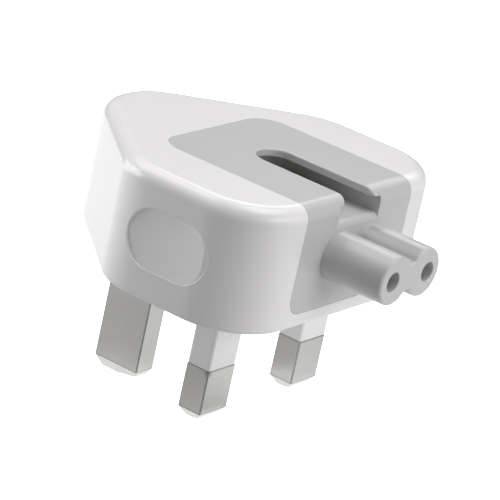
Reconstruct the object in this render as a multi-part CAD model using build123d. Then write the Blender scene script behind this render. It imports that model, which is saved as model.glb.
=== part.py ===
from build123d import *
import os
from math import asin, cos, sin, sqrt, radians

# Three-pin mains plug head for a charger brick. Millimetres.
# Origin on the pin face, midway between the two short pins. +Z is away from
# the pin face, the short pins lie along X, the earth pin is at +Y and the
# two-hole nose points to -Y.

# ---------------------------------------------------------------- dimensions
# body outline, seen along Z
half_width = 23.75          # flat sides at x = +-half_width
front_y = -11.45            # front plane
end_y = 32.2                # rounded end behind the earth pin
facet_angle = 43.3          # direction of the slanted sides' normals
facet_offset = 25.42        # distance of the slanted sides from the origin
front_corner_r = 10.0
kink_r = 10.0               # between flat side and slanted side
end_corner_r = 9.4
height = 18.4
top_edge_r = 2.2
bottom_edge_r = 0.7
wall = 1.9
floor_t = 2.6
roof_t = 2.0

# finger recesses in the two sides: a shallow trough inside a fine stepped rim
recess_y, recess_z = 3.2, 9.05
recess_length, recess_height = 13.95, 8.9
recess_step = 0.16          # depth of the rim's step
recess_ledge = 0.12         # width of the step's floor along the flat side
recess_rim_r = 0.12
trough_depth = 0.53         # from the flat side to the trough's lowest line
trough_cove_r = 16.0
trough_bow_r = 160.0        # the trough is bowed along the side
trough_low_y = 6.0          # where it is deepest

# grey insert: plan on the top face and outline on the front face
insert_half = 12.72
insert_back_y = 15.6
insert_back_r = 4.0
insert_low_z = 2.2
insert_low_r = 2.7
seam = 0.05                 # gap between insert and housing
plate_t = 1.7               # top plate
front_t = 2.0               # front plate
ledge = 1.3                 # step of the housing under the insert's rim
ledge_t = 1.5

# T-slot, open to the front
slot_half = 3.2
slot_end_y = 6.7
lip_t = 1.1
under_half = 5.0
slot_floor_z = 14.75
slot_wall = 1.4
slot_mouth_r = 1.8          # rounding of the lips' corners at the mouth
slot_edge_r = 0.28
slot_sill_r = 0.9           # roll-over of the slot's floor into the front

# nose with two holes
nose_front_y = -21.73
nose_z = 9.91
nose_r = 3.65
nose_lobe_x = 3.65
web_half = 2.05
hole_x = 4.3
hole_r = 1.45
hole_entry = 2.6            # length of the narrow mouth
hole_edge_r = 0.12
chamber_r = 1.95
boss_back_y = -8.3
nose_edge_r = 0.45
nose_groove_r = 0.6

# pins
pin_x = 11.115
flat_w, flat_t = 6.35, 3.97
flat_len = 17.7
earth_y = 22.225
earth_w, earth_l = 3.97, 7.95
earth_len = 22.73
pin_edge_r = 0.2
sleeve_edge_r = 0.4
pin_groove = 0.2            # bevel of the blade's shoulder below the sleeve
flat_tip, flat_tip_side = 1.2, 0.95
earth_tip, earth_tip_side = 1.62, 0.95
sleeve_len = 9.72
sleeve_t = 0.65
head_t = 1.6
flat_head = (9.0, 6.4)
earth_head = (7.0, 11.0)
stud_r, rivet_r, rivet_t = 1.25, 2.0, 0.8

# links, contacts and retainer
strip_t = 0.8
strip_w = 4.4
strip_rise_y = -6.9         # front face of the upright part
strip_plate_h = 3.4
contact_r, contact_bore_r = 1.9, 1.2
contact_front_y = -18.9
contact_back_y = -9.4       # inner end of the tube's bore
contact_flange_r = 2.6
contact_slit = 0.4
retainer_top_z = 6.6
retainer_clear = 0.08
peg_r = 1.2
pillar_r = 1.8


# ------------------------------------------------------------------- helpers
def loop_face(corners):
    """Face from tangent corner arcs (cx, cy, r, a0, a1), joined by lines."""
    edges = []
    for (cx, cy, r, a0, a1) in corners:
        edges.append(CenterArc((cx, cy), r, a0, a1 - a0))
    joined = []
    for i, arc in enumerate(edges):
        nxt = edges[(i + 1) % len(edges)]
        joined.append(arc)
        if (arc @ 1 - nxt @ 0).length > 1e-6:
            joined.append(Line(arc @ 1, nxt @ 0))
    return make_face(joined)


def body_outline(inset):
    """Body outline moved inwards by inset."""
    w = half_width - inset
    f = facet_offset - inset
    e = end_y - inset
    y0 = front_y + inset
    rc, rk, re = front_corner_r - inset, kink_r - inset, end_corner_r - inset
    c, s = cos(radians(facet_angle)), sin(radians(facet_angle))
    kx = w - rk
    ky = (f - rk - c * kx) / s
    ey = e - re
    ex = (f - re - s * ey) / c
    a = facet_angle
    return loop_face([
        (w - rc, y0 + rc, rc, -90, 0),
        (kx, ky, rk, 0, a),
        (ex, ey, re, a, 90),
        (-ex, ey, re, 90, 180 - a),
        (-kx, ky, rk, 180 - a, 180),
        (-w + rc, y0 + rc, rc, 180, 270),
    ])


def slab(face, z0, z1):
    return extrude(Pos(0, 0, z0) * face, z1 - z0)


def block(x0, x1, y0, y1, z0, z1):
    return Pos((x0 + x1) / 2, (y0 + y1) / 2, (z0 + z1) / 2) * Box(x1 - x0, y1 - y0, z1 - z0)


def insert_plan(grow, y_front):
    """Plan of the insert, grown all round, reaching forward to y_front."""
    w, b, r = insert_half + grow, insert_back_y + grow, insert_back_r + grow
    return loop_face([
        (w - r, b - r, r, 0, 90),
        (-w + r, b - r, r, 90, 180),
        (-w + 0.01, y_front + 0.01, 0.01, 180, 270),
        (w - 0.01, y_front + 0.01, 0.01, 270, 360),
    ])


# outline of the insert's front, drawn in a plane whose normal is -Y
front_plane = Plane(origin=(0, 0, 0), x_dir=(1, 0, 0), z_dir=(0, -1, 0))


def front_slab(face, y0, y1):
    """Extrude a face drawn in X and Z from y0 (front) to y1 (back)."""
    pl = Plane(origin=(0, y1, 0), x_dir=(1, 0, 0), z_dir=(0, -1, 0))
    return extrude(pl * face, y1 - y0)


def insert_front(grow, z_top):
    w, lo, r = insert_half + grow, insert_low_z - grow, insert_low_r + grow
    return loop_face([
        (w - r, lo + r, r, -90, 0),
        (w - 0.01, z_top - 0.01, 0.01, 0, 90),
        (-w + 0.01, z_top - 0.01, 0.01, 90, 180),
        (-w + r, lo + r, r, 180, 270),
    ])


def rod_y(x, z, r, y0, y1):
    pl = Plane(origin=(x, y1, z), x_dir=(1, 0, 0), z_dir=(0, -1, 0))
    return extrude(pl * Circle(r), y1 - y0)


def slot_plan(half, end_y_, y_front):
    """Plan of a slot with a full round end, open forward to y_front."""
    cy = end_y_ - half
    return loop_face([
        (0, cy, half, 0, 180),
        (-half + 0.01, y_front + 0.01, 0.01, 180, 270),
        (half - 0.01, y_front + 0.01, 0.01, 270, 360),
    ])


def mouth_flare(half, r, z0, z1):
    """Material to take off so a slot's corners at the front are rounded."""
    out = None
    for s in (-1, 1):
        sq = block(min(s * half, s * (half + r)), max(s * half, s * (half + r)),
                   front_y - 0.5, front_y + r, z0, z1)
        rnd = Pos(s * (half + r), front_y + r, z0) * extrude(Circle(r), z1 - z0)
        bit = sq - rnd
        out = bit if out is None else out + bit
    return out


def sill_round(half, r):
    """Material to take off so the slot's floor rolls over into the front."""
    sq = block(-half, half, front_y - 0.5, front_y + r, slot_floor_z - r, slot_floor_z + 0.05)
    pl = Plane(origin=(-half - 1, front_y + r, slot_floor_z - r), x_dir=(0, 1, 0), z_dir=(1, 0, 0))
    return sq - extrude(pl * Circle(r), 2 * half + 2)


# --------------------------------------------------- outer form of the body
outer = slab(body_outline(0), 0, height)
top_edges = outer.edges().filter_by(lambda e: abs(e.center().Z - height) < 1e-4)
outer = fillet(top_edges, top_edge_r)
low_edges = outer.edges().filter_by(lambda e: abs(e.center().Z) < 1e-4)
outer = fillet(low_edges, bottom_edge_r)

# ------------------------------------------------------------------- housing
cavity = slab(body_outline(wall), floor_t, height - roof_t)
rim_top = slab(insert_plan(1.6, front_y), height - plate_t - ledge_t, height)
rim_front = front_slab(insert_front(1.6, height), front_y, front_y + front_t + ledge_t)
cavity = cavity - rim_top - rim_front

seat = slab(insert_plan(seam, front_y - 1), height - plate_t, height + 1)
seat += front_slab(insert_front(seam, height + 1), front_y - 1, front_y + front_t)
seat += slab(insert_plan(-ledge, front_y + front_t), height - plate_t - ledge_t - 0.01, height)
seat += front_slab(insert_front(-ledge, height - 1), front_y, front_y + front_t + ledge_t + 0.01)

housing = outer - cavity - seat


def trough_tool(shift):
    """Trough along X with coved flanks that rise past Z = 0, bowed about X = shift."""
    d, r = trough_depth, trough_cove_r
    h = recess_height / 2 - recess_ledge
    run = sqrt(r * r - (r - d + recess_step) ** 2)
    cx, top = h - run, 0.3
    reach = sqrt(r * r - (r - d - top) ** 2)
    mid_a = 0.5 * asin(reach / r)
    cove = ThreePointArc((cx, -d), (cx + r * sin(mid_a), -d + r * (1 - cos(mid_a))), (cx + reach, top))
    side = make_face([Line((0, -d), (cx, -d)), cove, Line((cx + reach, top), (0, top)), Line((0, top), (0, -d))])
    bow = Axis((shift, 0, trough_bow_r - d), (0, 1, 0))
    swing = 4.5
    profile = Location((shift, 0, 0)) * (Plane.YZ * (side + mirror(side, Plane.YZ)))
    return revolve(profile, bow, 2 * swing).rotate(bow, -swing)


def side_x(y):
    """Half width of the body at y, along the flat side and the bend after it."""
    kx, c, s = half_width - kink_r, cos(radians(facet_angle)), sin(radians(facet_angle))
    ky = (facet_offset - kink_r - c * kx) / s
    return half_width if y <= ky else kx + sqrt(kink_r ** 2 - (y - ky) ** 2)


inner_form = slab(body_outline(recess_step), -1, height + 1)
for s in (-1, 1):
    pl = Plane(origin=(s * half_width, recess_y, recess_z), x_dir=(0, s, 0), z_dir=(s, 0, 0))
    mouth = extrude(pl * SlotOverall(recess_length, recess_height), 1.0, both=True)
    # the step follows the curved side all round, the trough goes deeper
    trough_cut = pl * trough_tool(s * (trough_low_y - recess_y))
    housing = housing - (mouth - (inner_form - trough_cut))

# soften the rim of each recess
rims = housing.edges().filter_by(
    lambda e: abs(e.center().Y - recess_y) < recess_length / 2 + 0.1
    and abs(e.center().Z - recess_z) < recess_height / 2 + 0.1
    and abs(abs(e.center().X) - side_x(e.center().Y)) < 0.01)
housing = fillet(rims, recess_rim_r)


def flat_section(w, t, r):
    return RectangleRounded(w, t, r)


for s in (-1, 1):
    housing = housing - Pos(s * pin_x, 0, -1) * extrude(flat_section(flat_w, flat_t, sleeve_edge_r), floor_t + 2)
housing = housing - Pos(0, earth_y, -1) * extrude(flat_section(earth_w, earth_l, pin_edge_r), floor_t + 2)

# two pegs on the floor that place the retainer
peg_at = [(-6.2, 8.0), (6.2, 8.0)]
for (px, py) in peg_at:
    housing = housing + Pos(px, py, floor_t) * extrude(Circle(peg_r), 2.6)

# --------------------------------------------------------------- slot insert
# the visible skin is the same outer form as the body, so it lies flush
shape = slab(insert_plan(0, front_y - 1), height - plate_t, height + 1)
shape += front_slab(insert_front(0, height + 1), front_y - 1, front_y + front_t)
skin = outer & shape

trough = slab(slot_plan(under_half + slot_wall, slot_end_y + (under_half - slot_half) + slot_wall, front_y),
              slot_floor_z - slot_wall, height - plate_t + 0.01)
trough = trough & outer


def figure_eight(grow):
    f = Pos(-nose_lobe_x, 0) * Circle(nose_r + grow) + Pos(nose_lobe_x, 0) * Circle(nose_r + grow)
    f += Rectangle(2 * nose_lobe_x, 2 * (web_half + grow))
    return f


nose = front_slab(Pos(0, nose_z) * figure_eight(0), nose_front_y, boss_back_y)
groove_edges = nose.edges().filter_by(Axis.Y).filter_by(lambda e: abs(e.center().X) < 2.5)
nose = fillet(groove_edges, nose_groove_r)
nose = fillet(nose.faces().sort_by(Axis.Y)[0].outer_wire().edges(), nose_edge_r)

pillars = None
for (px, py) in ((-9.3, 3.2), (9.3, 3.2), (0, 12.2)):
    p = Pos(px, py, retainer_top_z) * extrude(Circle(pillar_r), height - plate_t + 0.01 - retainer_top_z)
    pillars = p if pillars is None else pillars + p

insert = skin + trough + nose + pillars

under_end = slot_end_y + (under_half - slot_half)
under_top = height - lip_t
upper = slab(slot_plan(slot_half, slot_end_y, front_y - 1), under_top - 0.2, height + 1)
lower = slab(slot_plan(under_half, under_end, front_y - 1), slot_floor_z, under_top)
tee = upper + lower
tee += mouth_flare(slot_half, slot_mouth_r, under_top - 0.2, height + 1)
tee += sill_round(under_half, slot_sill_r)
insert = insert - tee

for s in (-1, 1):
    insert = insert - rod_y(s * hole_x, nose_z, hole_r, nose_front_y - 1, nose_front_y + hole_entry + 0.1)
    insert = insert - rod_y(s * hole_x, nose_z, chamber_r, nose_front_y + hole_entry, boss_back_y + 1)

# rounded upper edges of the slot
lip_edges = insert.edges().filter_by(
    lambda e: abs(e.center().Z - height) < 1e-3
    and abs(e.center().X) < slot_half + 0.05
    and e.center().Y > front_y + top_edge_r + 0.05
    and e.center().Y < slot_end_y + 0.05)
insert = fillet(lip_edges, slot_edge_r)

# rounded mouths of the two holes
mouth_edges = insert.edges().filter_by(GeomType.CIRCLE).filter_by(
    lambda e: abs(e.radius - hole_r) < 1e-4 and abs(e.center().Y - nose_front_y) < 1e-3)
insert = fillet(mouth_edges, hole_edge_r)

# ---------------------------------------------------------------------- pins
def tip_cut(w, l, length, tip, side):
    """Tapered end of a pin, as a loft from full section to the blunt end."""
    a = Pos(0, 0, -length + tip) * RectangleRounded(w, l, pin_edge_r)
    b = Pos(0, 0, -length) * RectangleRounded(w - 2 * side, l - 2 * side, pin_edge_r * 0.6)
    return loft([a, b])


def flat_pin(s):
    tip = tip_cut(flat_w, flat_t, flat_len, flat_tip, flat_tip_side)
    blade = Pos(0, 0, -flat_len + flat_tip) * extrude(
        RectangleRounded(flat_w, flat_t, pin_edge_r), flat_len - flat_tip - sleeve_len)
    blade = chamfer(blade.faces().sort_by(Axis.Z)[-1].outer_wire().edges(), pin_groove)
    core = Pos(0, 0, -sleeve_len - 0.01) * extrude(
        RectangleRounded(flat_w - 2 * sleeve_t, flat_t - 2 * sleeve_t, 0.25), sleeve_len + floor_t + 0.02)
    head = Pos(0, 0, floor_t) * extrude(RectangleRounded(*flat_head, 0.8), head_t)
    stud = Pos(0, 0, floor_t + head_t - 0.01) * extrude(Circle(stud_r), strip_t + 0.02)
    rivet = Pos(0, 0, floor_t + head_t + strip_t) * extrude(Circle(rivet_r), rivet_t)
    rivet = fillet(rivet.edges().sort_by(Axis.Z)[-1], 0.5)
    return Pos(s * pin_x, 0, 0) * (tip + blade + core + head + stud + rivet)


def sleeve(s):
    full = RectangleRounded(flat_w, flat_t, sleeve_edge_r)
    hole = RectangleRounded(flat_w - 2 * sleeve_t, flat_t - 2 * sleeve_t, 0.25)
    return Pos(s * pin_x, 0, -sleeve_len) * extrude(full - hole, sleeve_len + floor_t)


neutral_pin = flat_pin(-1)
line_pin = flat_pin(1)
neutral_pin_sleeve = sleeve(-1)
line_pin_sleeve = sleeve(1)

earth_pin = tip_cut(earth_w, earth_l, earth_len, earth_tip, earth_tip_side)
earth_pin += Pos(0, 0, -earth_len + earth_tip) * extrude(
    RectangleRounded(earth_w, earth_l, pin_edge_r), earth_len - earth_tip + floor_t + 0.01)
earth_pin += Pos(0, 0, floor_t) * extrude(RectangleRounded(*earth_head, 0.8), head_t)
earth_pin = Pos(0, earth_y, 0) * earth_pin

# ------------------------------------------------------------ pin retainer
ret_plan = RectangleRounded(34.0, 10.0, 1.5)
ret_plan = Pos(0, 0.6) * ret_plan + Pos(0, 15.9) * RectangleRounded(11.6, 25.4, 3.0)
ret_plan += Pos(0, 8.0) * RectangleRounded(17.0, 6.0, 1.5)
pin_retainer = slab(ret_plan, floor_t, retainer_top_z)
c = retainer_clear
for s in (-1, 1):
    pin_retainer -= block(s * pin_x - flat_head[0] / 2 - c, s * pin_x + flat_head[0] / 2 + c,
                          -flat_head[1] / 2 - c, flat_head[1] / 2 + c, floor_t - 1, floor_t + head_t)
    # channel over the strip, open to the front
    pin_retainer -= block(s * pin_x - strip_w / 2 - 0.15, s * pin_x + strip_w / 2 + 0.15,
                          -8.0, 3.0, floor_t + head_t - 0.5, floor_t + head_t + strip_t + rivet_t + 0.1)
pin_retainer -= block(-earth_head[0] / 2 - c, earth_head[0] / 2 + c,
                      earth_y - earth_head[1] / 2 - c, earth_y + earth_head[1] / 2 + c,
                      floor_t - 1, floor_t + head_t)
for (px, py) in peg_at:
    pin_retainer -= Pos(px, py, floor_t - 1) * extrude(Circle(peg_r + c), 4.2)

# ------------------------------------------------------------ links, contacts
def link(s):
    z0 = floor_t + head_t
    x0, x1 = sorted((s * pin_x - strip_w / 2, s * pin_x + strip_w / 2))
    foot = block(x0, x1, strip_rise_y, 2.6, z0, z0 + strip_t)
    rise = block(x0, x1, strip_rise_y, strip_rise_y + strip_t, z0, nose_z + strip_plate_h / 2)
    a, b = sorted((s * (hole_x - 2.0), s * (pin_x + strip_w / 2)))
    arm = block(a, b, strip_rise_y, strip_rise_y + strip_t,
                nose_z - strip_plate_h / 2, nose_z + strip_plate_h / 2)
    body = foot + rise + arm
    body -= Pos(s * pin_x, 0, z0 - 1) * extrude(Circle(stud_r), strip_t + 2)
    body -= rod_y(s * hole_x, nose_z, 1.0, strip_rise_y - 1, strip_rise_y + strip_t + 1)
    bend = body.edges().filter_by(Axis.X).filter_by(
        lambda e: abs(e.center().Y - strip_rise_y) < 1e-4 and abs(e.center().Z - z0) < 1e-4)
    return fillet(bend, 0.7)


def contact(s):
    tube = rod_y(s * hole_x, nose_z, contact_r, contact_front_y, boss_back_y + 0.01)
    flange = rod_y(s * hole_x, nose_z, contact_flange_r, boss_back_y, strip_rise_y)
    stub = rod_y(s * hole_x, nose_z, 1.0, strip_rise_y - 0.01, strip_rise_y + strip_t)
    peen = rod_y(s * hole_x, nose_z, 1.5, strip_rise_y + strip_t, strip_rise_y + strip_t + 0.6)
    body = tube + flange + stub + peen
    body -= rod_y(s * hole_x, nose_z, contact_bore_r, contact_front_y - 1, contact_back_y)
    body -= block(s * hole_x - contact_slit / 2, s * hole_x + contact_slit / 2,
                  contact_front_y - 1, contact_back_y - 1.5, nose_z - 3, nose_z + 3)
    return body


line_link, neutral_link = link(1), link(-1)
line_contact, neutral_contact = contact(1), contact(-1)

# -------------------------------------------------------------------- output
nodes = {
    "housing": housing,
    "slot_insert": insert,
    "line_pin": line_pin,
    "neutral_pin": neutral_pin,
    "earth_pin": earth_pin,
    "line_pin_sleeve": line_pin_sleeve,
    "neutral_pin_sleeve": neutral_pin_sleeve,
    "pin_retainer": pin_retainer,
    "line_link": line_link,
    "neutral_link": neutral_link,
    "line_contact": line_contact,
    "neutral_contact": neutral_contact,
}
os.makedirs("parts", exist_ok=True)
for name, shape_ in nodes.items():
    export_step(shape_, f"parts/{name}.step")
    print(name, len(shape_.solids()), round(shape_.volume, 1))
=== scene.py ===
import math

import bpy
from mathutils import Matrix, Vector

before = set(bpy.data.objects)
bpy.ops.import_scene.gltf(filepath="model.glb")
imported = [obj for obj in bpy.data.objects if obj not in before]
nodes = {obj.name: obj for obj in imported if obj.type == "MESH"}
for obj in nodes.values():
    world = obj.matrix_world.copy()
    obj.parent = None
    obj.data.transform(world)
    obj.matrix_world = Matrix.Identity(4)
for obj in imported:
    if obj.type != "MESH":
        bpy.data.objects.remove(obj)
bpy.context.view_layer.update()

# Three-pin mains plug head with a grey slotted insert and a two-hole nose.
# Everything is in metres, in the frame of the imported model: origin on the pin
# face, pins to -Z, earth pin at +Y, nose at -Y.

scene = bpy.context.scene
scene.view_settings.view_transform = "Standard"
scene.view_settings.look = "None"
scene.view_settings.exposure = 0.0
scene.view_settings.gamma = 1.0

MM = 0.001


# ------------------------------------------------------------ node helpers
class Graph:
    """A material's node tree, with short calls for the nodes used here."""

    def __init__(self, name):
        self.mat = bpy.data.materials.new(name)
        self.mat.use_nodes = True
        self.tree = self.mat.node_tree
        self.tree.nodes.clear()
        self.out = self.add("ShaderNodeOutputMaterial")
        self.coord = self.add("ShaderNodeTexCoord").outputs["Object"]

    def add(self, kind, **props):
        n = self.tree.nodes.new(kind)
        for k, v in props.items():
            setattr(n, k, v)
        return n

    def link(self, a, b):
        self.tree.links.new(a, b)

    def scaled(self, x, y, z, shift=(0.0, 0.0, 0.0)):
        n = self.add("ShaderNodeMapping")
        n.inputs["Scale"].default_value = (x, y, z)
        n.inputs["Location"].default_value = shift
        self.link(self.coord, n.inputs["Vector"])
        return n.outputs["Vector"]

    def noise(self, scale, detail=2.0, rough=0.5, vector=None, distortion=0.0):
        n = self.add("ShaderNodeTexNoise")
        n.inputs["Scale"].default_value = scale
        n.inputs["Detail"].default_value = detail
        n.inputs["Roughness"].default_value = rough
        n.inputs["Distortion"].default_value = distortion
        self.link(vector or self.coord, n.inputs["Vector"])
        return n.outputs["Fac"]

    def span(self, value, lo, hi, out_lo, out_hi):
        n = self.add("ShaderNodeMapRange")
        n.inputs["From Min"].default_value = lo
        n.inputs["From Max"].default_value = hi
        n.inputs["To Min"].default_value = out_lo
        n.inputs["To Max"].default_value = out_hi
        self.link(value, n.inputs["Value"])
        return n.outputs["Result"]

    def ramp(self, value, *stops):
        n = self.add("ShaderNodeValToRGB")
        e = n.color_ramp.elements
        while len(e) < len(stops):
            e.new(0.5)
        for el, (pos, colour) in zip(e, stops):
            el.position = pos
            el.color = (*colour, 1.0)
        self.link(value, n.inputs["Fac"])
        return n.outputs["Color"]

    def math(self, op, a, b):
        n = self.add("ShaderNodeMath", operation=op)
        for sock, v in zip(n.inputs, (a, b)):
            if isinstance(v, (int, float)):
                sock.default_value = v
            else:
                self.link(v, sock)
        return n.outputs["Value"]

    def tint(self, mask, colour, other):
        """Colour that turns to the other colour where the mask is 1."""
        n = self.add("ShaderNodeMix", data_type="RGBA")
        self.link(mask, n.inputs[0])
        self.link(colour, n.inputs[6])
        n.inputs[7].default_value = (*other, 1.0)
        return n.outputs[2]

    def bump(self, height, strength, distance, normal=None):
        n = self.add("ShaderNodeBump")
        n.inputs["Strength"].default_value = strength
        n.inputs["Distance"].default_value = distance
        self.link(height, n.inputs["Height"])
        if normal is not None:
            self.link(normal, n.inputs["Normal"])
        return n.outputs["Normal"]

    def principled(self, **values):
        n = self.add("ShaderNodeBsdfPrincipled")
        for k, v in values.items():
            n.inputs[k.replace("_", " ")].default_value = v
        self.link(n.outputs["BSDF"], self.out.inputs["Surface"])
        return n


# --------------------------------------------------------------- materials
def gloss_white():
    g = Graph("white_gloss_plastic")
    p = g.principled()
    p.inputs["IOR"].default_value = 1.49
    tone = g.noise(70.0, 3.0, 0.55)
    body = g.ramp(tone, (0.30, (0.802, 0.784, 0.785)), (0.55, (0.820, 0.803, 0.805)), (0.75, (0.828, 0.811, 0.814)))
    peel = g.noise(520.0, 2.0, 0.5)
    fine = g.noise(4200.0, 2.0, 0.6)
    g.link(g.span(fine, 0.3, 0.7, 0.17, 0.25), p.inputs["Roughness"])
    n = g.bump(peel, 0.25, 6e-6)
    n = g.bump(fine, 0.10, 2e-6, n)
    # the finger recesses' floors have a soft bow along the side
    at = g.add("ShaderNodeSeparateXYZ")
    g.link(g.coord, at.inputs[0])
    x, y, z = at.outputs
    past = g.math("MAXIMUM", g.math("SUBTRACT", g.math("ABSOLUTE", g.math("SUBTRACT", y, 3.2 * MM), 0.0), 2.525 * MM), 0.0)
    rise = g.math("SUBTRACT", z, 9.05 * MM)
    reach = g.math("SQRT", g.math("ADD", g.math("MULTIPLY", past, past), g.math("MULTIPLY", rise, rise)), 0.0)
    out = g.math("ABSOLUTE", x, 0.0)
    side = g.span(out, 22.2 * MM, 22.6 * MM, 0.0, 1.0)
    inside = g.math("MULTIPLY", g.span(reach, 4.38 * MM, 4.45 * MM, 1.0, 0.0), side)
    off = g.math("SUBTRACT", y, 8.0 * MM)
    bow = g.bump(g.math("MULTIPLY", g.math("MULTIPLY", off, off), 0.5 / (64.0 * MM)), 1.0, 1.0, n)
    # the rim's ledge leans a little more
    g.link(g.math("MULTIPLY", inside, g.span(out, 23.53 * MM, 23.57 * MM, 1.0, 1.45)), bow.node.inputs["Strength"])
    g.link(bow, p.inputs["Normal"])
    # and the rim is painted lighter where the recess runs out in the bend: painted light against the shade on the
    # rim's wall
    painted_rim_light = g.math("MULTIPLY", g.math("MULTIPLY", g.span(reach, 4.30 * MM, 4.42 * MM, 0.0, 1.0), g.span(reach, 4.52 * MM, 4.66 * MM, 1.0, 0.0)), side)
    painted_rim_light = g.math("MULTIPLY", painted_rim_light, g.span(y, 5.2 * MM, 7.2 * MM, 0.0, 0.95))
    g.link(g.tint(painted_rim_light, body, (0.97, 0.965, 0.955)), p.inputs["Base Color"])
    return g.mat


def satin_grey():
    g = Graph("grey_satin_plastic")
    p = g.principled()
    p.inputs["IOR"].default_value = 1.49
    tone = g.noise(90.0, 3.0, 0.55)
    body = g.ramp(tone, (0.30, (0.541, 0.535, 0.537)), (0.55, (0.551, 0.545, 0.547)), (0.75, (0.557, 0.551, 0.553)))
    # painted shade under the slot's lips, darker towards the closed end
    at = g.add("ShaderNodeSeparateXYZ")
    g.link(g.coord, at.inputs[0])
    x, y, z = at.outputs
    inside = g.math("MULTIPLY", g.span(g.math("ABSOLUTE", x, 0.0), 5.10 * MM, 5.30 * MM, 1.0, 0.0), g.span(z, 17.10 * MM, 17.35 * MM, 1.0, 0.0))
    inside = g.math("MULTIPLY", inside, g.span(z, 14.50 * MM, 14.70 * MM, 0.0, 1.0))
    painted_slot_shade = g.math("MULTIPLY", inside, g.span(y, -11.4 * MM, -1.0 * MM, 0.0, 0.54))
    # and painted shade in the nose's upper groove
    painted_groove_shade = g.math("MULTIPLY", g.span(g.math("ABSOLUTE", x, 0.0), 2.5 * MM, 3.3 * MM, 0.40, 0.0), g.span(z, 11.2 * MM, 11.6 * MM, 0.0, 1.0))
    painted_groove_shade = g.math("MULTIPLY", painted_groove_shade, g.math("MULTIPLY", g.span(y, -12.6 * MM, -11.7 * MM, 1.0, 0.0), g.span(y, -21.6 * MM, -21.2 * MM, 0.0, 1.0)))
    body = g.tint(painted_groove_shade, body, (0.190, 0.178, 0.182))
    g.link(g.tint(painted_slot_shade, body, (0.19, 0.185, 0.17)), p.inputs["Base Color"])
    grain = g.noise(5200.0, 3.0, 0.6)
    g.link(g.span(grain, 0.3, 0.7, 0.22, 0.26), p.inputs["Roughness"])
    g.link(g.bump(grain, 0.05, 3e-6), p.inputs["Normal"])
    return g.mat


def sleeve_white():
    g = Graph("sleeve_satin_plastic")
    p = g.principled()
    p.inputs["IOR"].default_value = 1.50
    tone = g.noise(140.0, 3.0, 0.55, g.scaled(1.0, 1.0, 0.5))
    body = g.ramp(tone, (0.30, (0.775, 0.772, 0.766)), (0.55, (0.790, 0.787, 0.781)), (0.78, (0.800, 0.798, 0.793)))
    mark = g.span(g.noise(760.0, 3.0, 0.6), 0.66, 0.76, 0.0, 0.45)
    g.link(g.tint(mark, body, (0.56, 0.55, 0.53)), p.inputs["Base Color"])
    drag = g.noise(1800.0, 3.0, 0.6, g.scaled(1.0, 1.0, 0.12))
    g.link(g.span(drag, 0.3, 0.7, 0.30, 0.42), p.inputs["Roughness"])
    g.link(g.bump(drag, 0.18, 4e-6), p.inputs["Normal"])
    return g.mat


def plated_metal(name, cx, cy, hx, hy, taper_z, sleeve_z=None, smudge=None):
    """Nickel plate on a pin with its centre at cx, cy and half sizes hx, hy, in millimetres."""
    g = Graph(name)
    p = g.principled(Metallic=1.0)
    # faint drawn streaks run along the pin
    streak = g.noise(2600.0, 4.0, 0.65, g.scaled(1.0, 1.0, 0.035))
    cloud = g.noise(210.0, 3.0, 0.55)
    mixed = g.math("ADD", g.math("MULTIPLY", streak, 0.35), g.math("MULTIPLY", cloud, 0.65))
    plate = g.ramp(mixed, (0.32, (0.612, 0.604, 0.590)), (0.50, (0.632, 0.624, 0.610)), (0.70, (0.646, 0.639, 0.626)))
    # painted shade and dark reflection: the plate is painted dark along the upright edges, above the taper and in the
    # groove under the sleeve, where shade and dark reflections fall
    at = g.add("ShaderNodeSeparateXYZ")
    g.link(g.coord, at.inputs[0])
    x, y, z = at.outputs
    in_x = g.math("SUBTRACT", hx * MM, g.math("ABSOLUTE", g.math("SUBTRACT", x, cx * MM), 0.0))
    in_y = g.math("SUBTRACT", hy * MM, g.math("ABSOLUTE", g.math("SUBTRACT", y, cy * MM), 0.0))
    apart = g.math("SQRT", g.math("ADD", g.math("MULTIPLY", in_x, in_x), g.math("MULTIPLY", in_y, in_y)), 0.0)
    painted_shade_and_smudge = g.span(apart, 0.10 * MM, 0.26 * MM, 0.68, 0.0)
    fold = g.math("ABSOLUTE", g.math("SUBTRACT", z, (taper_z + 0.08) * MM), 0.0)
    painted_shade_and_smudge = g.math("MAXIMUM", painted_shade_and_smudge, g.span(fold, 0.05 * MM, 0.16 * MM, 0.34, 0.0))
    if sleeve_z is not None:
        band = g.math("ABSOLUTE", g.math("SUBTRACT", z, (sleeve_z - 0.10) * MM), 0.0)
        painted_shade_and_smudge = g.math("MAXIMUM", painted_shade_and_smudge, g.span(band, 0.06 * MM, 0.26 * MM, 0.42, 0.0))
        # the groove itself is dull
        g.link(g.span(band, 0.12 * MM, 0.30 * MM, 0.15, 1.0), p.inputs["Metallic"])
    if smudge is not None:
        # a real dark smudge on the plate is added to the painted shade
        near = g.add("ShaderNodeVectorMath", operation="DISTANCE")
        g.link(g.coord, near.inputs[0])
        near.inputs[1].default_value = [v * MM for v in smudge]
        painted_shade_and_smudge = g.math("MAXIMUM", painted_shade_and_smudge, g.span(near.outputs["Value"], 0.25 * MM, 1.05 * MM, 0.72, 0.0))
    painted_shade_and_smudge = g.math("MULTIPLY", painted_shade_and_smudge, g.span(g.noise(1500.0, 3.0, 0.6), 0.25, 0.55, 0.70, 1.0))
    g.link(g.tint(painted_shade_and_smudge, plate, (0.105, 0.102, 0.095)), p.inputs["Base Color"])
    g.link(g.span(mixed, 0.3, 0.7, 0.23, 0.18), p.inputs["Roughness"])
    n = g.bump(streak, 0.03, 3e-6)
    n = g.bump(cloud, 0.05, 1e-5, n)
    g.link(n, p.inputs["Normal"])
    return g.mat


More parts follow.
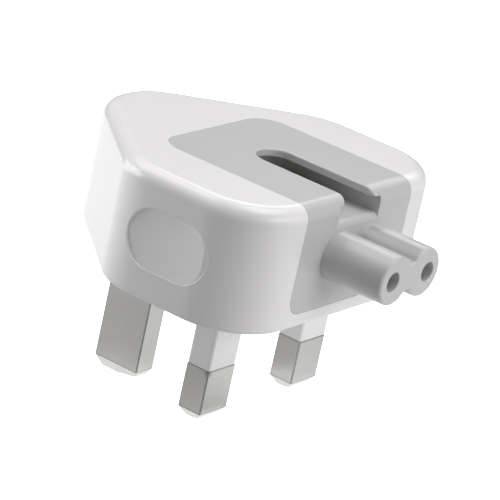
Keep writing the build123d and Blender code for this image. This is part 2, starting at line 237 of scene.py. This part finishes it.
def natural_nylon():
    g = Graph("inner_natural_plastic")
    p = g.principled()
    tone = g.noise(160.0, 3.0, 0.55)
    g.link(g.ramp(tone, (0.30, (0.640, 0.600, 0.520)), (0.55, (0.690, 0.655, 0.580)), (0.78, (0.715, 0.685, 0.615))), p.inputs["Base Color"])
    grain = g.noise(3600.0, 3.0, 0.6)
    g.link(g.span(grain, 0.3, 0.7, 0.48, 0.62), p.inputs["Roughness"])
    g.link(g.bump(grain, 0.25, 8e-6), p.inputs["Normal"])
    return g.mat


def stamped_brass():
    g = Graph("stamped_brass")
    p = g.principled(Metallic=1.0)
    grainline = g.noise(2400.0, 4.0, 0.6, g.scaled(1.0, 0.05, 1.0))
    tarnish = g.noise(300.0, 3.0, 0.6)
    mixed = g.math("ADD", g.math("MULTIPLY", grainline, 0.4), g.math("MULTIPLY", tarnish, 0.6))
    g.link(g.ramp(mixed, (0.30, (0.560, 0.395, 0.150)), (0.52, (0.700, 0.520, 0.230)), (0.72, (0.770, 0.600, 0.300))), p.inputs["Base Color"])
    g.link(g.span(mixed, 0.3, 0.7, 0.40, 0.26), p.inputs["Roughness"])
    g.link(g.bump(grainline, 0.18, 4e-6), p.inputs["Normal"])
    return g.mat


finish = {
    "white_plastic": gloss_white(),
    "grey_plastic": satin_grey(),
    "line_pin": plated_metal("nickel_plated_line_pin", 11.115, 0.0, 3.175, 1.985, -16.5, -9.72),
    "neutral_pin": plated_metal("nickel_plated_neutral_pin", -11.115, 0.0, 3.175, 1.985, -16.5, -9.72, (-14.29, -1.98, -9.9)),
    "earth_pin": plated_metal("nickel_plated_earth_pin", 0.0, 22.225, 1.985, 3.975, -21.11),
    "sleeve_plastic": sleeve_white(),
    "inner_plastic": natural_nylon(),
    "contact_brass": stamped_brass(),
}
wears = {
    "housing": "white_plastic",
    "slot_insert": "grey_plastic",
    "line_pin": "plated_pin",
    "neutral_pin": "plated_pin",
    "earth_pin": "plated_pin",
    "line_pin_sleeve": "sleeve_plastic",
    "neutral_pin_sleeve": "sleeve_plastic",
    "pin_retainer": "inner_plastic",
    "line_link": "contact_brass",
    "neutral_link": "contact_brass",
    "line_contact": "contact_brass",
    "neutral_contact": "contact_brass",
}
for name, obj in nodes.items():
    obj.data.materials.clear()
    obj.data.materials.append(finish.get(name) or finish[wears[name]])


# ------------------------------------------------------------------- stage
# The plug stands on its three pin tips, so the floor slopes in the plug's
# own frame: through the short pins' tips and the longer earth pin's tip.
short_tip = Vector((0.0, 0.0, -17.7 * MM))
earth_tip = Vector((0.0, 22.225 * MM, -22.73 * MM))
along = (earth_tip - short_tip).normalized()
across = Vector((1.0, 0.0, 0.0))
up = across.cross(along).normalized()


def plane(name, size, lift):
    mesh = bpy.data.meshes.new(name)
    c = short_tip + up * lift
    mesh.from_pydata([c - across * size - along * size, c + across * size - along * size, c + across * size + along * size, c - across * size + along * size], [], [(0, 1, 2, 3)])
    obj = bpy.data.objects.new(name, mesh)
    scene.collection.objects.link(obj)
    return obj


def floor_material():
    g = Graph("floor_white")
    d = g.add("ShaderNodeBsdfDiffuse")
    tone = g.noise(3.0, 2.0, 0.5)
    g.link(g.ramp(tone, (0.3, (0.90, 0.90, 0.90)), (0.7, (0.92, 0.92, 0.92))), d.inputs["Color"])
    e = g.add("ShaderNodeEmission")
    e.inputs["Strength"].default_value = 1.0
    s = g.add("ShaderNodeAddShader")
    g.link(d.outputs[0], s.inputs[0])
    g.link(e.outputs[0], s.inputs[1])
    clear = g.add("ShaderNodeBsdfTransparent")
    m = g.add("ShaderNodeMixShader")
    g.link(g.add("ShaderNodeNewGeometry").outputs["Backfacing"], m.inputs["Fac"])
    g.link(s.outputs[0], m.inputs[1])
    g.link(clear.outputs[0], m.inputs[2])
    g.link(m.outputs[0], g.out.inputs["Surface"])
    return g.mat


def glow_material():
    g = Graph("light_table")
    e = g.add("ShaderNodeEmission")
    g.link(g.add("ShaderNodeAttribute", attribute_name="glow").outputs["Fac"], e.inputs["Strength"])
    clear = g.add("ShaderNodeBsdfTransparent")
    m = g.add("ShaderNodeMixShader")
    g.link(g.add("ShaderNodeNewGeometry").outputs["Backfacing"], m.inputs["Fac"])
    g.link(e.outputs[0], m.inputs[1])
    g.link(clear.outputs[0], m.inputs[2])
    g.link(m.outputs[0], g.out.inputs["Surface"])
    return g.mat


def blend(x, stops):
    """Piecewise linear value of x over (position, value) stops."""
    if x <= stops[0][0]:
        return stops[0][1]
    for (x0, v0), (x1, v1) in zip(stops, stops[1:]):
        if x <= x1:
            return v0 + (v1 - v0) * (x - x0) / (x1 - x0)
    return stops[-1][1]


# how bright the table is, by direction round the plug (degrees from the earth
# pin's side, right-hand side positive), in four rings from the plug outwards
under_glow = [(-180, 0.88), (-135, 0.58), (-90, 0.54), (-45, 0.50), (0, 0.90), (45, 0.78), (90, 0.82), (135, 0.84), (180, 0.88)]
near_glow = [(-180, 0.95), (-135, 0.36), (-90, 0.42), (-45, 0.52), (0, 0.67), (90, 0.65), (135, 0.78), (180, 0.95)]
mid_glow = [(-180, 0.65), (-135, 0.20), (-90, 0.20), (-45, 0.83), (0, 0.98), (30, 1.24), (60, 1.05), (90, 0.70), (180, 0.65)]
far_glow = [(-180, 0.61), (-135, 0.50), (-90, 0.50), (-45, 0.68), (0, 0.90), (30, 1.24), (60, 1.00), (90, 0.65), (180, 0.61)]

# footprints of the pins: centre across and along the floor, half sizes
tips = [(-11.115, 0.0, 3.2, 2.0), (11.115, 0.0, 3.2, 2.0), (0.0, 22.79, 2.0, 4.0)]
tip_glow = 1.08             # the table right under the pins


def glow(x, y):
    """Brightness at x across and y along the floor from the short pins, in millimetres."""
    r, deg = math.hypot(x, y - 9.0), math.degrees(math.atan2(x, y - 9.0))
    under, near, mid, far = (blend(deg, g) for g in (under_glow, near_glow, mid_glow, far_glow))
    value = blend(r, [(22, under), (38, near), (70, near), (110, mid), (230, mid), (320, far)])
    d = min(math.hypot(max(abs(x - tx) - hx, 0.0), max(abs(y - ty) - hy, 0.0)) for tx, ty, hx, hy in tips)
    return value + (tip_glow - value) * blend(d, [(0.6, 1.0), (1.7, 0.0)])


def light_table(lift):
    rings = [0.8 * k for k in range(1, 38)] + [34, 38, 44, 50, 60, 70, 84, 98, 110, 150, 230, 320, 500, 900, 1800]
    spokes = 120
    at = [(0.0, 9.0)]
    for r in rings:
        for k in range(spokes):
            a = math.radians(-180.0 + 360.0 * k / spokes)
            at.append((r * math.sin(a), 9.0 + r * math.cos(a)))
    faces = []
    for k in range(spokes):
        n = (k + 1) % spokes
        faces.append((0, 1 + n, 1 + k))
        for i in range(len(rings) - 1):
            p, q = 1 + i * spokes, 1 + (i + 1) * spokes
            faces.append((p + k, p + n, q + n, q + k))
    mesh = bpy.data.meshes.new("table_glow")
    mesh.from_pydata([short_tip + across * (x * MM) + along * (y * MM) + up * lift for x, y in at], [], faces)
    level = mesh.attributes.new("glow", "FLOAT", "POINT")
    level.data.foreach_set("value", [glow(x, y) for x, y in at])
    obj = bpy.data.objects.new("table_glow", mesh)
    scene.collection.objects.link(obj)
    return obj


floor = plane("floor", 3.0, -0.02 * MM)
floor.data.materials.append(floor_material())
floor.visible_diffuse = floor.visible_glossy = floor.visible_transmission = floor.visible_shadow = False
card = light_table(-0.10 * MM)
card.data.materials.append(glow_material())
card.visible_camera = False


# ------------------------------------------------------------------ lights
def softbox(name, toward, distance, width, height, power):
    """Area light seen from the object along 'toward', facing the object."""
    data = bpy.data.lights.new(name, "AREA")
    data.shape = "RECTANGLE"
    data.size, data.size_y = width, height
    data.energy = power
    obj = bpy.data.objects.new(name, data)
    d = Vector(toward).normalized()
    obj.location = Vector((0.0, 0.005, 0.0)) + d * distance
    obj.rotation_mode = "QUATERNION"
    obj.rotation_quaternion = (-d).to_track_quat("-Z", "Y")
    obj.visible_camera = False
    scene.collection.objects.link(obj)
    return obj


def toward(deg, height):
    """Direction from the plug, by bearing round the floor and height above it."""
    a, e = math.radians(deg), math.radians(height)
    return across * (math.sin(a) * math.cos(e)) + along * (math.cos(a) * math.cos(e)) + up * math.sin(e)


softbox("light_front_high", toward(180, 62), 0.60, 0.34, 0.34, 1.08)
softbox("light_front_right", toward(135, 62), 0.60, 0.34, 0.34, 0.77)
softbox("light_front_low", toward(180, 8), 0.60, 0.30, 0.30, 1.28)
softbox("light_front_right_low", toward(150, 8), 0.60, 0.30, 0.30, 0.49)
softbox("light_back_high", toward(0, 62), 0.60, 0.34, 0.34, 0.80)
softbox("light_back_low", toward(0, 8), 0.60, 0.30, 0.30, 0.69)
softbox("light_back_left", toward(-24, 22), 0.60, 0.34, 0.34, 1.62)
softbox("light_left_high", toward(-45, 62), 0.60, 0.34, 0.34, 0.39)
softbox("light_left_low", toward(-120, 8), 0.60, 0.30, 0.30, 0.24)
softbox("light_right", toward(60, 42), 0.60, 0.34, 0.34, 0.06)
softbox("light_overhead", toward(100, 84), 0.60, 0.40, 0.40, 0.34)
softbox("light_key", toward(64, 52), 0.60, 0.20, 0.20, 0.30)
softbox("light_key_strip", toward(85, 34), 0.60, 0.40, 0.09, 0.30)

world = bpy.data.worlds.new("studio")
scene.world = world
world.use_nodes = True
world.node_tree.nodes["Background"].inputs["Color"].default_value = (1.0, 1.0, 1.0, 1.0)
world.node_tree.nodes["Background"].inputs["Strength"].default_value = 1.0
world.cycles_visibility.diffuse = False
world.cycles_visibility.glossy = False
world.cycles_visibility.transmission = False
world.cycles_visibility.scatter = False

# ------------------------------------------------------------------ camera
cam_data = bpy.data.cameras.new("camera")
cam_data.sensor_width = 36.0
cam_data.lens = 36.0 * 3354.4 / 500.0
cam_data.clip_start, cam_data.clip_end = 0.02, 20.0
cam = bpy.data.objects.new("camera", cam_data)
scene.collection.objects.link(cam)
right = Vector((0.5847, -0.7854, 0.2029)).normalized()
down = Vector((-0.1663, -0.3609, -0.9177))
down = (down - right * down.dot(right)).normalized()
forward = right.cross(down)
eye = Vector((-379.88, -235.75, 167.01)) * MM
cam.matrix_world = Matrix((
    (right.x, -down.x, -forward.x, eye.x),
    (right.y, -down.y, -forward.y, eye.y),
    (right.z, -down.z, -forward.z, eye.z),
    (0.0, 0.0, 0.0, 1.0),
))
scene.camera = cam
